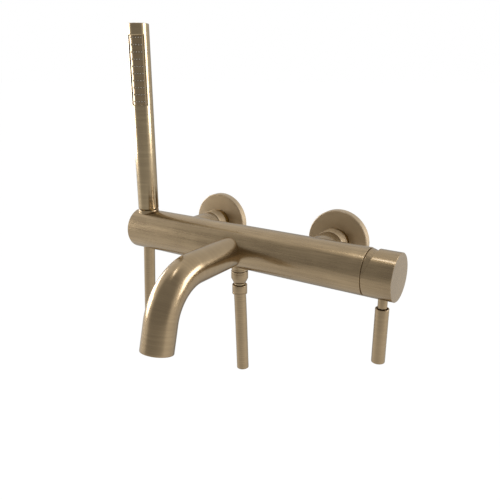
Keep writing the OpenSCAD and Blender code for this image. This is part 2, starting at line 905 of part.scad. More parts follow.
module diverter_stem() {
    front = diverter_seal_y - diverter_flange_h;
    color(brass) at_diverter() {
        rod_y(front, button_floor_y + button_socket, diverter_stem_d);
        rod_y(front, diverter_seal_y, diverter_flange_d);
        rod_y(diverter_seal_y + diverter_seal_h, diverter_seal_y + diverter_seal_h
            + diverter_flange_h, diverter_flange_d);
        difference() {
            rod_y(piston_front, piston_front + piston_h, sleeve_bore_d - 4 * run);
            rod_y(piston_front + 1, piston_front + piston_h - 1, sleeve_bore_d);
        }
    }
}

// The washer that shuts the spout and the ring round the piston
module diverter_seals() {
    color(rubber) at_diverter() {
        difference() {
            rod_y(diverter_seal_y, diverter_seal_y + diverter_seal_h, diverter_seal_d);
            rod_y(diverter_seal_y - past, diverter_seal_y + diverter_seal_h + past,
                diverter_stem_d);
        }
        difference() {
            rod_y(piston_front + 1, piston_front + piston_h - 1, sleeve_bore_d - 2 * run);
            rod_y(piston_front, piston_front + piston_h, diverter_stem_d);
        }
    }
}

// Coil spring between the gland and the button
module diverter_spring() {
    length = button_floor_y - gland_back - spring_wire - 2 * run;
    steps = spring_turns * spring_steps;
    start = gland_back + spring_wire / 2 + run;
    points = [for (k = [0 : steps], i = [0 : spring_sides - 1])
        let (turn = k * 360 / spring_steps, face = i * 360 / spring_sides,
            r = spring_coil_d / 2 + spring_wire / 2 * cos(face))
        [r * cos(turn), start + length * k / steps + spring_wire / 2 * sin(face),
            r * sin(turn)]];
    walls = [for (k = [0 : steps - 1], i = [0 : spring_sides - 1])
        let (j = (i + 1) % spring_sides, a = k * spring_sides, b = a + spring_sides)
        [a + i, b + i, b + j, a + j]];
    first = [[for (i = [0 : spring_sides - 1]) i]];
    last = [[for (i = [spring_sides - 1 : -1 : 0]) steps * spring_sides + i]];
    color(steel) at_diverter()
        polyhedron(points = points, faces = concat(walls, first, last), convexity = 8);
}

module diverter_button() {
    color(bronze) at_diverter() difference() {
        rod_y(button_skirt_y, button_end_y, button_d);
        rod_y(button_skirt_y - past, button_floor_y, button_d - 2 * button_wall);
        rod_y(button_skirt_y, button_floor_y + button_socket + seat,
            diverter_stem_d + 2 * run);
    }
}

// ---- Shower outlet ----

module outlet_nipple() {
    color(bronze) at_axis() difference() {
        group() {
            rod_z(nipple_seat - seat, nipple_top, nipple_thread_d);
            rod_z(nipple_bottom, nipple_seat, nipple_d);
            rod_z(nipple_male_end, nipple_bottom, nipple_male_d);
        }
        rod_z(nipple_male_end - past, nipple_top + past, nipple_bore);
    }
}

module outlet_nut() {
    color(bronze) at_axis() difference() {
        group() {
            rod_z(nut_taper, nut_top, hose_nut_d);
            translate([0, 0, nut_bottom])
                cylinder(h = nut_taper - nut_bottom, d1 = nut_end_d, d2 = hose_nut_d);
        }
        rod_z(nut_inner_end, nut_top + past, nipple_male_d + 2 * run);
        rod_z(nut_bottom - past, nut_top, nut_hole_d);
    }
}

module outlet_seal() {
    color(rubber) at_axis()
        ring_z(tail_head_top, tail_head_top + outlet_seal_h, tail_head_d, nipple_bore);
}

// Swivelling tail that joins the nut to the hose's ferrule
module outlet_tail() {
    web_bottom = ferrule_web - ferrule_web_h;
    tail_bore = 5.4;
    color(bronze) at_axis() difference() {
        group() {
            rod_z(nut_inner_end + run, tail_head_top, tail_head_d);
            rod_z(tail_neck_top, tail_head_top, tail_shaft_d);
            rod_z(ferrule_web, tail_neck_top, tail_shoulder_d);
            rod_z(web_bottom, tail_neck_top, ferrule_web_hole);
        }
        rod_z(web_bottom - past, tail_head_top + past, tail_bore);
    }
}

module outlet_ferrule() {
    color(bronze) at_axis() difference() {
        rod_z(ferrule_top - ferrule_len, ferrule_top, ferrule_d);
        rod_z(ferrule_web, ferrule_top + past, ferrule_bore);
        rod_z(ferrule_top - ferrule_len - past, ferrule_web - ferrule_web_h, ferrule_bore);
        rod_z(ferrule_top - ferrule_len, ferrule_top, ferrule_web_hole);
    }
}

module outlet_hose() {
    color(hose_colour) hanging_tube(outlet_route, hose_d, hose_sides);
}

// ---- Hand shower and its holder ----

// Bronze socket for the hose's cone, sunk in the top of the body
module holder_collar() {
    color(bronze) at_axis() translate([handset_x, 0, 0]) difference() {
        rod_z(collar_bottom, holder_rim, handset_d);
        translate([0, 0, cone_bottom]) cylinder(h = cone_top - cone_bottom + past,
            d1 = cone_bottom_d + 2 * loose,
            d2 = cone_top_d + 2 * loose
                + past * (cone_top_d - cone_bottom_d) / (cone_top - cone_bottom));
        rod_z(collar_bottom - past, cone_bottom + past, cone_bottom_d + 2 * loose);
    }
}

// Plastic guide that the hose slides through
module guide_bush() {
    color(plastic) at_axis() difference() {
        rod_z(bush_bottom, collar_bottom, bush_d, x = handset_x);
        hose_bore(guide_bore_d, collar_bottom + past, bush_bottom - past);
    }
}

// Conical nut at the top of the hose
module hose_cone() {
    height = cone_top - cone_bottom;
    color(bronze) at_axis() translate([handset_x, 0, cone_bottom]) difference() {
        cylinder(h = height, d1 = cone_bottom_d, d2 = cone_top_d);
        rod_z(cone_thread_end - cone_bottom, height + past, cone_thread_d + 2 * run);
        rod_z(-past, height, cone_hole_d);
    }
}

module cone_seal() {
    color(rubber) at_axis() translate([handset_x, 0, cone_thread_end])
        ring_z(0, cone_seal_h, cone_thread_d, cone_hole_d);
}

// Threaded insert in the lower end of the hand shower
module handset_tail() {
    spigot_bottom = cone_thread_end + cone_seal_h - handset_z;
    color(brass) at_handset() difference() {
        group() {
            rod_z(edge, tail_insert_len, handset_d - 2 * handset_wall - 2 * run);
            rod_z(spigot_bottom, edge, cone_thread_d);
        }
        rod_z(spigot_bottom - past, tail_insert_len + past, handset_bore_d);
    }
}

// The opening for the spray plate, as a block in front of the hand shower's axis
module spray_window(extra)
    translate([-spray_w / 2 - extra, -handset_d, spray_top - spray_len - extra])
        cube([spray_w + 2 * extra, handset_d + spray_back, spray_len + 2 * extra]);

module handset_tube() {
    color(bronze) at_handset() difference() {
        bevelled_rod_z(0, handset_len, handset_d, edge);
        rod_z(-past, handset_len - handset_top_wall, handset_d - 2 * handset_wall);
        spray_window(0);
    }
}

// Plastic waterway inside the hand shower, with a chamber behind the nozzles
module handset_core() {
    core_d = handset_d - 2 * handset_wall - 2 * seat;
    core_end = handset_len - core_top_gap;
    color(plastic) at_handset() difference() {
        rod_z(core_start, core_end, core_d);
        rod_z(core_start - past, spray_top, handset_bore_d);
        translate([-handset_r, -handset_d + chamber_back, spray_top - spray_len
            - chamber_margin])
            cube([handset_d, handset_d, spray_len + 2 * chamber_margin]);
    }
}

// One radial rod for each nozzle, from the mat's inside out to r
module nozzle_rods(r, d) {
    for (row = [0 : nozzle_rows - 1], angle = nozzle_angles)
        translate([0, 0, nozzle_row_start - row * nozzle_pitch]) rotate([0, 0, angle])
            translate([0, -r, 0]) rotate([-90, 0, 0])
                cylinder(h = r - mat_outer_r() + mat_wall / 2, d = d, $fn = 20);
}

function mat_outer_r() = handset_r - spray_sunk - spray_plate_wall - seat;

module spray_plate() {
    plate_r = handset_r - spray_sunk;
    color(bronze) at_handset() difference() {
        intersection() {
            rod_z(0, handset_len, 2 * plate_r);
            spray_window(-spray_gap);
        }
        rod_z(0, handset_len, 2 * (plate_r - spray_plate_wall));
        nozzle_rods(plate_r + past, nozzle_d + 2 * nozzle_gap);
    }
}

// Rubber mat behind the spray plate, with a tip through each hole
module nozzle_mat() {
    inner_r = mat_outer_r() - mat_wall;
    color(rubber) at_handset() {
        intersection() {
            difference() {
                rod_z(0, handset_len, 2 * mat_outer_r());
                rod_z(0, handset_len, 2 * inner_r);
            }
            translate([-handset_r, -handset_d, spray_top - spray_len - mat_margin])
                cube([handset_d, handset_d + chamber_back - seat, spray_len + 2 * mat_margin]);
        }
        nozzle_rods(handset_r - spray_sunk + nozzle_proud, nozzle_d);
    }
}

module handset_hose() {
    color(hose_colour) hanging_tube(handset_route, hose_d, hose_sides);
}

valve_body();
union(-1);  // union_left
union(1);  // union_right
flange(-1);  // flange_left
flange(1);  // flange_right
union_nut(-1);  // union_nut_left
union_nut(1);  // union_nut_right
inlet_tail(-1);  // inlet_tail_left
inlet_tail(1);  // inlet_tail_right
inlet_seal(-1);  // inlet_seal_left
inlet_seal(1);  // inlet_seal_right
base_seals();
cartridge_base();
fixed_disc();
moving_disc();
disc_carrier();
cartridge_housing();
cartridge_rotor();
stem_pin();
cartridge_stem();
clamp_ring();
bonnet();
handle_cap();
cap_screw();
lever_neck();
lever_stick();
spout_nipple();
spout_seal();
spout_tube();
aerator_seal();
aerator_insert();
aerator_shell();
diverter_sleeve();
diverter_gland();
diverter_stem();
diverter_seals();
diverter_spring();
diverter_button();
outlet_nipple();
outlet_nut();
outlet_seal();
outlet_tail();
outlet_ferrule();
outlet_hose();
holder_collar();
guide_bush();
hose_cone();
cone_seal();
handset_tail();
handset_tube();
handset_core();
spray_plate();
nozzle_mat();
handset_hose();
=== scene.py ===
import json
import math

import bmesh
import bpy
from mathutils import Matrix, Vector


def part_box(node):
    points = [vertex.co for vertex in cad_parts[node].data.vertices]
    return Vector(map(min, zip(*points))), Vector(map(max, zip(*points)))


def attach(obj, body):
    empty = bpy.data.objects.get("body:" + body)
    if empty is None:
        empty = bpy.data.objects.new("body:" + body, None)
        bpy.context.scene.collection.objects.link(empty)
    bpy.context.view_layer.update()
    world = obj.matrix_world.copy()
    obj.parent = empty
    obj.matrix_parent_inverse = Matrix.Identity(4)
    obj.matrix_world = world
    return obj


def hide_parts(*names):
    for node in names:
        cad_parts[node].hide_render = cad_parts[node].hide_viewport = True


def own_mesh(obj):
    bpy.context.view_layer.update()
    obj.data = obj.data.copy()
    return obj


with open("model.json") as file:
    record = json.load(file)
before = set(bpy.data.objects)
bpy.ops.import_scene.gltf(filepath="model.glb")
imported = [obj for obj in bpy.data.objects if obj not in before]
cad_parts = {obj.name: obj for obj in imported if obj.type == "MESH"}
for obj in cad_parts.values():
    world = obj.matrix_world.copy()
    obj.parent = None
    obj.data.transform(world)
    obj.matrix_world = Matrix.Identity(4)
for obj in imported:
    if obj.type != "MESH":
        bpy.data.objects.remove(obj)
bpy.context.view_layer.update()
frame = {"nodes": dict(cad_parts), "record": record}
nodes = frame["nodes"]
scene = bpy.context.scene
print("frame loaded,", len(nodes), "nodes")

# the mixer's own axis, read from the body: it runs along X
bodyLow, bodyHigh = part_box("valve_body")
bodyRadius = (bodyHigh.z - bodyLow.z) / 2
axisZ = bodyLow.z + bodyRadius
axisY = bodyLow.y + bodyRadius
outAxis, zAxis = Vector((0, -1, 0)), Vector((0, 0, 1))    # away from the wall, and up

# camera: place in metres, turn and tilt in degrees, lens and sensor in mm
view = {"place": (0.29059, -0.49917, 0.17213), "turn": 33.31, "down": 17.75,
        "lens": 38.44, "sensor": 36}


def addCamera():
    data = bpy.data.cameras.new("camera")
    data.lens = view["lens"]
    data.sensor_width = view["sensor"]
    camera = bpy.data.objects.new("camera", data)
    camera.location = view["place"]
    camera.rotation_euler = (math.radians(90 - view["down"]), 0, math.radians(view["turn"]))
    scene.collection.objects.link(camera)
    scene.camera = camera


addCamera()
print("camera placed")


# each mesh helper stores a "brush" vector: the way along the axis, then the place round it;
# edges sharper than the angle sharp, in degrees, are shaded as edges
def addMesh(name, points, faces, brush=None, sharp=35):
    mesh = bpy.data.meshes.new(name)
    mesh.from_pydata(points, [], faces)
    if brush:
        layer = mesh.attributes.new("brush", "FLOAT_VECTOR", "POINT")
        layer.data.foreach_set("vector", [value for triple in brush for value in triple])
    shape = bmesh.new()
    shape.from_mesh(mesh)
    bmesh.ops.recalc_face_normals(shape, faces=shape.faces)
    shape.to_mesh(mesh)
    shape.free()
    mesh.polygons.foreach_set("use_smooth", [True] * len(mesh.polygons))
    mesh.set_sharp_from_angle(angle=math.radians(sharp))
    piece = bpy.data.objects.new(name, mesh)
    scene.collection.objects.link(piece)
    return piece


def stretch(points):
    # walked distance along a line of points
    walked = [0]
    for k in range(1, len(points)):
        walked.append(walked[-1] + (points[k] - points[k - 1]).length)
    return walked


def skin(loops, segments, closed=True):
    # faces between neighbouring loops of points; a loop of one point is a pole
    faces = []
    for n in range(0 if closed else 1, len(loops)):
        a, b = loops[n - 1], loops[n]
        for i in range(segments):
            j = (i + 1) % segments
            loop = [a[i % len(a)], a[j % len(a)], b[j % len(b)], b[i % len(b)]]
            loop = [v for m, v in enumerate(loop) if v not in loop[:m]]
            if len(loop) > 2:
                faces.append(loop)
    return faces


def fillet(outline, steps=4, largest=0.49):
    # rounds each corner (radius, height, rounding) of a closed outline; largest is the share of
    # a side that a rounding may take
    result = []
    for k, corner in enumerate(outline):
        here = Vector(corner[:2])
        before = Vector(outline[k - 1][:2]) - here
        after = Vector(outline[(k + 1) % len(outline)][:2]) - here
        if len(corner) < 3:
            result.append(here)
            continue
        reach = min(corner[2] / math.tan(before.angle(after) / 2),
                    before.length * largest, after.length * largest)
        start = here + before.normalized() * reach
        end = here + after.normalized() * reach
        for step in range(steps + 1):
            t = step / steps
            result.append(start * (1 - t) ** 2 + here * 2 * t * (1 - t) + end * t ** 2)
    return result


poleRadius = 1e-7    # metres


def lathe(name, outline, centre, axis, segments, sharp):
    # turns a closed outline in millimetres, (radius, height) or (radius, height, rounding),
    # about an axis through centre; a point at radius 0 is a pole
    side = axis.orthogonal().normalized()
    other = axis.cross(side)
    points, brush, loops = [], [], []
    for r, h in fillet(outline):
        r, h = r / 1000, h / 1000
        count = segments if r > poleRadius else 1
        loops.append([len(points) + i for i in range(count)])
        for i in range(count):
            turn = 2 * math.pi * i / segments
            out = (side * math.cos(turn) + other * math.sin(turn)) * r
            points.append(Vector(centre) + axis * h + out)
            brush.append((h, r * math.cos(turn), r * math.sin(turn)))
    return addMesh(name, points, skin(loops, segments), brush, sharp)


def smoothRoute(route, spacing, steps=12):
    # a Catmull-Rom curve through the route's points, resampled at even spacing
    route = [Vector(p) for p in route]
    padded = [2 * route[0] - route[1]] + route + [2 * route[-1] - route[-2]]
    fine = []
    for k in range(1, len(padded) - 2):
        a, b, c, d = padded[k - 1:k + 3]
        for step in range(steps):
            t = step / steps
            fine.append(0.5 * (2 * b + (c - a) * t + (2 * a - 5 * b + 4 * c - d) * t ** 2
                               + (3 * b - a - 3 * c + d) * t ** 3))
    fine.append(route[-1])
    walked = stretch(fine)
    count = max(2, round(walked[-1] / spacing))
    result, k = [fine[0]], 0
    for n in range(1, count):
        target = walked[-1] * n / count
        while walked[k + 1] < target:
            k += 1
        result.append(fine[k].lerp(fine[k + 1], (target - walked[k]) / (walked[k + 1] - walked[k])))
    return result + [fine[-1]]


def sweep(name, path, rings, segments, sharp, hollow=True):
    # carries circles along a path: rings lists (path index, radius); in a hollow piece the last
    # meets the first, in a solid one both ends are a point of radius 0
    walked = stretch(path)
    frames = []
    side = (path[1] - path[0]).orthogonal().normalized()
    for k in range(len(path)):
        ahead = (path[min(k + 1, len(path) - 1)] - path[max(k - 1, 0)]).normalized()
        side = (side - ahead * side.dot(ahead)).normalized()
        frames.append((side, ahead.cross(side)))
    points, brush, loops = [], [], []
    for k, radius in rings:
        count = segments if radius > 0 else 1
        loops.append([len(points) + i for i in range(count)])
        for i in range(count):
            turn = 2 * math.pi * i / segments
            across = frames[k][0] * math.cos(turn) + frames[k][1] * math.sin(turn)
            points.append(path[k] + across * radius)
            brush.append((walked[k], radius * math.cos(turn), radius * math.sin(turn)))
    return addMesh(name, points, skin(loops, segments, hollow), brush, sharp)


# the two hoses, cut off short: smooth covers over a fine spiral winding
hose = {
    "diameter": 12.6, "bore": 8.0, "windingPitch": 2.4, "windingDepth": 0.05,    # mm
    "cutEdge": 0.5, "boreEdge": 0.3, "boreRing": 9,    # mm, at the cut end
    "ringsPerTurn": 6,
}
outletRoute = [    # from inside the ferrule down, in metres
    (0, -0.0762, -0.031), (0.0002, -0.0762, -0.038), (0.0006, -0.0762, -0.046),
    (0.001, -0.0762, -0.056), (0.0014, -0.0762, -0.066), (0.0018, -0.0762, -0.076),
    (0.0021, -0.0762, -0.086), (0.0025, -0.0762, -0.096), (0.0028, -0.0762, -0.106),
    (0.0031, -0.0762, -0.115), (0.0034, -0.0762, -0.124),
]
handsetRoute = [    # from the hand shower's cone down through the body, in metres
    (-0.1231, -0.0762, 0.0163), (-0.1237, -0.0762, 0.006), (-0.1243, -0.0762, -0.004),
    (-0.1249, -0.0762, -0.014), (-0.1255, -0.0762, -0.024), (-0.1261, -0.0762, -0.034),
    (-0.1267, -0.0762, -0.044), (-0.1273, -0.0762, -0.054), (-0.1279, -0.0762, -0.064),
    (-0.1285, -0.0762, -0.074), (-0.1291, -0.0762, -0.084), (-0.1297, -0.0762, -0.094),
    (-0.1303, -0.0762, -0.104), (-0.1309, -0.0762, -0.114), (-0.1315, -0.0762, -0.124),
]


def addHose(name, route, node, body):
    radius, bore = hose["diameter"] / 2000, hose["bore"] / 2000
    depth, pitch = hose["windingDepth"] / 1000, hose["windingPitch"] / 1000
    path = smoothRoute(route, pitch / hose["ringsPerTurn"])
    walked = stretch(path)
    last = len(path) - 1
    # the cover sinks a little between the turns of the winding
    rings = [(k, radius - depth * (0.5 + 0.5 * math.cos(2 * math.pi * walked[k] / pitch)))
             for k in range(last)]
    # the cut end with its broken edges, then the bore, with one ring on its way to the start
    rings += [(last, radius - hose["cutEdge"] / 1000), (last, bore + hose["boreEdge"] / 1000),
              (last - 1, bore)]
    rings += [(last - round(hose["boreRing"] / 1000 / walked[1]), bore), (0, bore)]
    piece = sweep(name, path, rings, segments=48, sharp=50)
    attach(piece, body)
    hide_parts(node)
    return piece


outletHose = addHose("outletHose", outletRoute, "outlet_hose", "outlet_swivel")
handsetHose = addHose("handsetHose", handsetRoute, "handset_hose", "shower_hose")
print("hoses made")


# detailed pieces in place of plain CAD nodes: sizes in mm, heights along each piece's axis
def addTurned(node, body, outline, centre, axis, segments=96, sharp=30):
    piece = lathe(node + "Detail", outline, centre, axis, segments, sharp)
    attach(piece, body)
    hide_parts(node)
    return piece


def reach(node, axis):
    # the low and high ends of a CAD node along a world axis, in mm
    low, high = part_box(node)
    return low[axis] * 1000, high[axis] * 1000


spout = {
    "drop": 1.5, "straight": 72.2, "bend": 48.6, "angle": 75, "end": 25.8,
    "radius": 15.05, "bore": 12.05, "mouth": 13.0,
    "root": 13.5,    # the spout starts this far in front of the body's axis, inside its wall
    "straightSteps": 12, "bendSteps": 40, "endSteps": 10,
    "boreStep": 4,       # the bore has a ring at every fourth step only
    "rebateRings": 7,    # the mouth's rebate reaches up this many rings
    # the rounded lip: its size, then for each ring its share before the mouth and the share
    # that is taken off the radius, then the share that widens the mouth
    "lip": 0.5, "lipRings": ((0.5, 0.12), (0.15, 0.42), (0, 1)), "innerLip": 0.6,
}


def addSpout():
    y0, z0 = axisY, axisZ - spout["drop"] / 1000
    root, straight, bend = (spout[k] / 1000 for k in ("root", "straight", "bend"))
    angle = math.radians(spout["angle"])
    steps = spout["straightSteps"]
    route = [Vector((0, y0 - root - (straight - root) * k / steps, z0)) for k in range(steps + 1)]
    steps = spout["bendSteps"]
    for k in range(1, steps + 1):
        turn = angle * k / steps
        route.append(Vector((0, y0 - straight - bend * math.sin(turn),
                             z0 - bend * (1 - math.cos(turn)))))
    down = Vector((0, -math.cos(angle), -math.sin(angle)))
    mouth = route[-1] + down * spout["end"] / 1000
    steps = spout["endSteps"]
    route += [route[-1].lerp(mouth, k / steps) for k in range(1, steps)]
    # close rings round the lip
    lip = spout["lip"] / 1000
    route.append(mouth - down * lip)
    route += [mouth - down * lip * before for before, cut in spout["lipRings"]]
    last = len(route) - 1
    # the outside, the lip, the mouth's rebate and the bore back to the root
    radius, bore, rebate = (spout[k] / 1000 for k in ("radius", "bore", "mouth"))
    lipStart = last - len(spout["lipRings"]) + 1
    rebateEnd = last - spout["rebateRings"]
    rings = [(k, radius) for k in range(lipStart)]
    rings += [(lipStart + k, radius - lip * cut) for k, (before, cut) in enumerate(spout["lipRings"])]
    rings += [(last, rebate + lip * spout["innerLip"]), (lipStart, rebate), (rebateEnd, rebate)]
    rings += [(k, bore) for k in [rebateEnd] + list(range(rebateEnd - 1, -1, -spout["boreStep"]))]
    piece = sweep("spoutDetail", route, rings, segments=96, sharp=30)
    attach(piece, "mixer")
    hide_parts("spout_tube")
    return piece


spoutPiece = addSpout()

# wall rosettes, hollow behind, and the smooth round nuts of the unions
inletSpacing = 0.15    # metres
flange = {
    "radius": 32.6, "depth": 7.8, "bevel": 0.9, "plate": 2.2, "rim": 2.0,
    "hub": 16.2, "hubBack": 4.5, "hole": 13.3, "holeBevel": (0.3, 0.4),
    "rimRound": 0.5, "faceRound": 0.25, "holeRound": 0.2, "hubFillet": 0.4, "rimFillet": 0.6,
}
unionNut = {"radius": 15.6, "lip": 2.0, "threadBore": 13.25, "hole": 10.5, "edge": 0.6,
            "boreEdge": 0.3}


def addWallSide(side, x):
    f = flange
    inside = f["depth"] - f["plate"]
    wide, deep = f["holeBevel"]
    outline = [
        (f["radius"], 0), (f["radius"], f["depth"] - f["bevel"], f["rimRound"]),
        (f["radius"] - f["bevel"], f["depth"], f["faceRound"]),
        (f["hole"] + wide, f["depth"], f["holeRound"]), (f["hole"], f["depth"] - deep),
        (f["hole"], f["hubBack"]), (f["hub"], f["hubBack"]), (f["hub"], inside, f["hubFillet"]),
        (f["radius"] - f["rim"], inside, f["rimFillet"]), (f["radius"] - f["rim"], 0),
    ]
    rosette = addTurned("flange_" + side, "mixer", outline, (x, 0, axisZ), outAxis,
                        segments=128, sharp=25)
    n = unionNut
    front, back = (-v for v in reach("union_nut_" + side, 1))
    outline = [
        (n["radius"], back, n["edge"]), (n["radius"], front, n["edge"]),
        (n["hole"], front, n["boreEdge"]), (n["hole"], front - n["lip"]),
        (n["threadBore"], front - n["lip"]), (n["threadBore"], back, n["boreEdge"]),
    ]
    nut = addTurned("union_nut_" + side, "mixer", outline, (x, 0, axisZ), outAxis)
    return [rosette, nut]


wallPieces = addWallSide("left", -inletSpacing / 2) + addWallSide("right", inletSpacing / 2)
print("spout, flanges and union nuts made")

# nipple, hose nut and ferrule under the body: radii and heights
outlet = {
    "collar": 8.3, "thread": 6.6, "topThread": 7.0, "bore": 4.8,
    "seatDepth": 3.7, "collarDown": 3.7,    # above and below the body's lowest line
    "nut": 8.7, "nutEnd": 6.2, "nutHole": 4.7, "nutInner": 6.65, "taper": 5.2, "nutFloor": 1.7,
    "ferrule": 7.75, "ferruleBore": 6.65, "ferruleHole": 4.3, "webDown": 1.2, "web": 0.9,
    "edge": 0.45, "endEdge": 0.4, "taperEdge": 0.7, "ferruleEdge": 0.5, "boreEdge": 0.2,
    "lowEdge": 0.15, "segments": 72,
}
# shallow turned grooves: start from one end, width with both slopes, slope, depth and roundings
nutGroove = {"start": 1.6, "width": 0.7, "slope": 0.2, "depth": 0.2, "edge": 0.12,
             "floorEdge": 0.1}
ferruleGroove = {"start": 1.5, "width": 0.7, "slope": 0.2, "depth": 0.18, "edge": 0.15,
                 "floorEdge": 0.1}


def grooveOutline(groove, radius, end, up):
    # the groove's four corners, away from an end; up is 1 above it and -1 below it
    start, stop = groove["start"], groove["start"] + groove["width"]
    floor = radius - groove["depth"]
    return [(radius, end + up * start, groove["edge"]),
            (floor, end + up * (start + groove["slope"]), groove["floorEdge"]),
            (floor, end + up * (stop - groove["slope"]), groove["floorEdge"]),
            (radius, end + up * stop, groove["edge"])]


def addOutlet():
    o = outlet
    base = (0, axisY, 0)
    low, high = reach("outlet_nipple", 2)
    seat = (axisZ - bodyRadius) * 1000 + o["seatDepth"]
    under = (axisZ - bodyRadius) * 1000 - o["collarDown"]
    nipple = addTurned("outlet_nipple", "mixer", [
        (o["topThread"], high), (o["topThread"], seat), (o["collar"], seat)]
        + grooveOutline(nutGroove, o["collar"], under, 1)[::-1] + [
        (o["collar"], under, o["edge"]), (o["thread"], under), (o["thread"], low, o["endEdge"]),
        (o["bore"], low), (o["bore"], high)], base, zAxis, o["segments"])
    low, high = reach("outlet_nut", 2)
    taper, floor = low + o["taper"], low + o["nutFloor"]
    nut = addTurned("outlet_nut", "mixer", [
        (o["nut"], high, o["edge"])] + grooveOutline(nutGroove, o["nut"], high, -1) + [
        (o["nut"], taper, o["taperEdge"]), (o["nutEnd"], low, o["endEdge"]), (o["nutHole"], low),
        (o["nutHole"], floor), (o["nutInner"], floor), (o["nutInner"], high)],
        base, zAxis, o["segments"])
    low, high = reach("outlet_ferrule", 2)
    web = high - o["webDown"]
    ferrule = addTurned("outlet_ferrule", "outlet_swivel", [
        (o["ferrule"], low, o["ferruleEdge"])]
        + grooveOutline(ferruleGroove, o["ferrule"], low, 1) + [
        (o["ferrule"], high, o["edge"]), (o["ferruleBore"], high, o["boreEdge"]),
        (o["ferruleBore"], web), (o["ferruleHole"], web), (o["ferruleHole"], web - o["web"]),
        (o["ferruleBore"], web - o["web"]), (o["ferruleBore"], low, o["lowEdge"])],
        base, zAxis, o["segments"])
    return [nipple, nut, ferrule]


outletPieces = addOutlet()

# the hand shower's holder, the lever and its neck: radii and heights
holder = {"radius": 11.05, "edge": 0.7, "coneTop": 9.0, "coneEdge": 0.3, "coneBottom": 7.75,
          "coneFrom": 0.3}
lever = {"radius": 6.15, "edge": 0.7, "recess": 5.2, "recessDepth": 2.6, "recessEdge": 0.25,
         "threadHole": 3.05, "threadDepth": 4.6, "segments": 72,
         "endDimple": 0.25, "dimpleInset": 2.2, "dimpleEdge": 0.6, "endInset": 1.5, "endEdge": 0.4}
neck = {"radius": 4.25, "thread": 3.0, "threadLength": 4.5, "edge": 0.3, "segments": 64}
handsetX = (reach("handset_tube", 0)[0] + reach("handset_tube", 0)[1]) / 2000
leverX = (reach("lever_stick", 0)[0] + reach("lever_stick", 0)[1]) / 2000


def addHolder():
    h = holder
    low, high = reach("holder_collar", 2)
    return addTurned("holder_collar", "mixer", [
        (h["radius"], low), (h["radius"], high, h["edge"]), (h["coneTop"], high, h["coneEdge"]),
        (h["coneBottom"], low + h["coneFrom"]), (h["coneBottom"], low)],
        (handsetX, axisY, 0), zAxis)


def addLever():
    v, n = lever, neck
    low, high = reach("lever_stick", 2)
    floor, dimple = high - v["recessDepth"], low + v["endDimple"]
    stick = addTurned("lever_stick", "handle", [
        (0, dimple), (v["radius"] - v["dimpleInset"], dimple, v["dimpleEdge"]),
        (v["radius"] - v["endInset"], low, v["endEdge"]), (v["radius"], low, v["edge"]),
        (v["radius"], high, v["edge"]), (v["recess"], high, v["recessEdge"]), (v["recess"], floor),
        (v["threadHole"], floor), (v["threadHole"], floor - v["threadDepth"]),
        (0, floor - v["threadDepth"])], (leverX, axisY, 0), zAxis, v["segments"])
    low, high = reach("lever_neck", 2)
    pin = addTurned("lever_neck", "handle", [
        (0, low), (n["thread"], low, n["edge"]), (n["thread"], low + n["threadLength"]),
        (n["radius"], low + n["threadLength"], n["edge"]),
        (n["radius"], high - n["threadLength"], n["edge"]),
        (n["thread"], high - n["threadLength"]), (n["thread"], high, n["edge"]), (0, high)],
        (leverX, axisY, 0), zAxis, n["segments"])
    return [stick, pin]


spring = {"wire": 0.9, "coil": 10.4, "turns": 5, "endTurns": 0.75, "endPitch": 0.95, "travel": 5.0,
          "slack": 0.1, "stepsPerTurn": 28, "tipShare": 0.8, "segments": 12}


def addSpring():
    # return spring of the diverter, wound with a nearly closed turn at each end
    n = spring
    low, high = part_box("diverter_spring")
    centre = (low + high) / 2
    start, end = low.y * 1000 + n["wire"] / 2, high.y * 1000 - n["wire"] / 2
    steps = n["turns"] * n["stepsPerTurn"]
    endRise = n["endTurns"] * n["endPitch"]
    path = []
    for k in range(steps + 1):
        turns = n["turns"] * k / steps
        left = n["turns"] - turns
        if turns < n["endTurns"]:
            y = start + turns * n["endPitch"]
        elif left < n["endTurns"]:
            y = end - left * n["endPitch"]
        else:
            share = (turns - n["endTurns"]) / (n["turns"] - 2 * n["endTurns"])
            y = start + endRise + (end - start - 2 * endRise) * share
        turn = 2 * math.pi * turns
        path.append(Vector((centre.x + n["coil"] / 2000 * math.cos(turn), y / 1000,
                            centre.z + n["coil"] / 2000 * math.sin(turn))))
    wire = n["wire"] / 2000
    tip = wire * n["tipShare"]
    rings = [(0, 0), (0, tip)] + [(k, wire) for k in range(1, steps)] + [(steps, tip), (steps, 0)]
    piece = sweep("diverterSpring", path, rings, segments=n["segments"], sharp=50, hollow=False)
    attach(piece, "mixer")
    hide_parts("diverter_spring")
    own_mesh(piece)
    return piece


holderPiece = addHolder()
leverPieces = addLever()
springPiece = addSpring()
print("outlet, holder, lever and spring made")

# rubber mat with a tapered, drilled tip through each hole of the spray plate
spray = {
    "turn": 25, "columns": (-32, -16, 0, 16, 32), "rows": 10, "pitch": 6.87, "firstDown": 3.3,
    "plateGap": 0.5,    # between the plate and its window in the tube
    "matInner": 7.65, "rootRadius": 8.9, "halfAngle": 70, "matSteps": 28,
    # a tip: where it ends, its own radii, how deep it starts, tapers, rounds off and is drilled
    "tipRadius": 10.5, "root": 0.85, "tip": 0.52, "hole": 0.24,
    "sunk": 0.3, "taper": 0.75, "round": 0.12, "drilled": 0.5, "drillTaper": 0.06, "segments": 16,
}


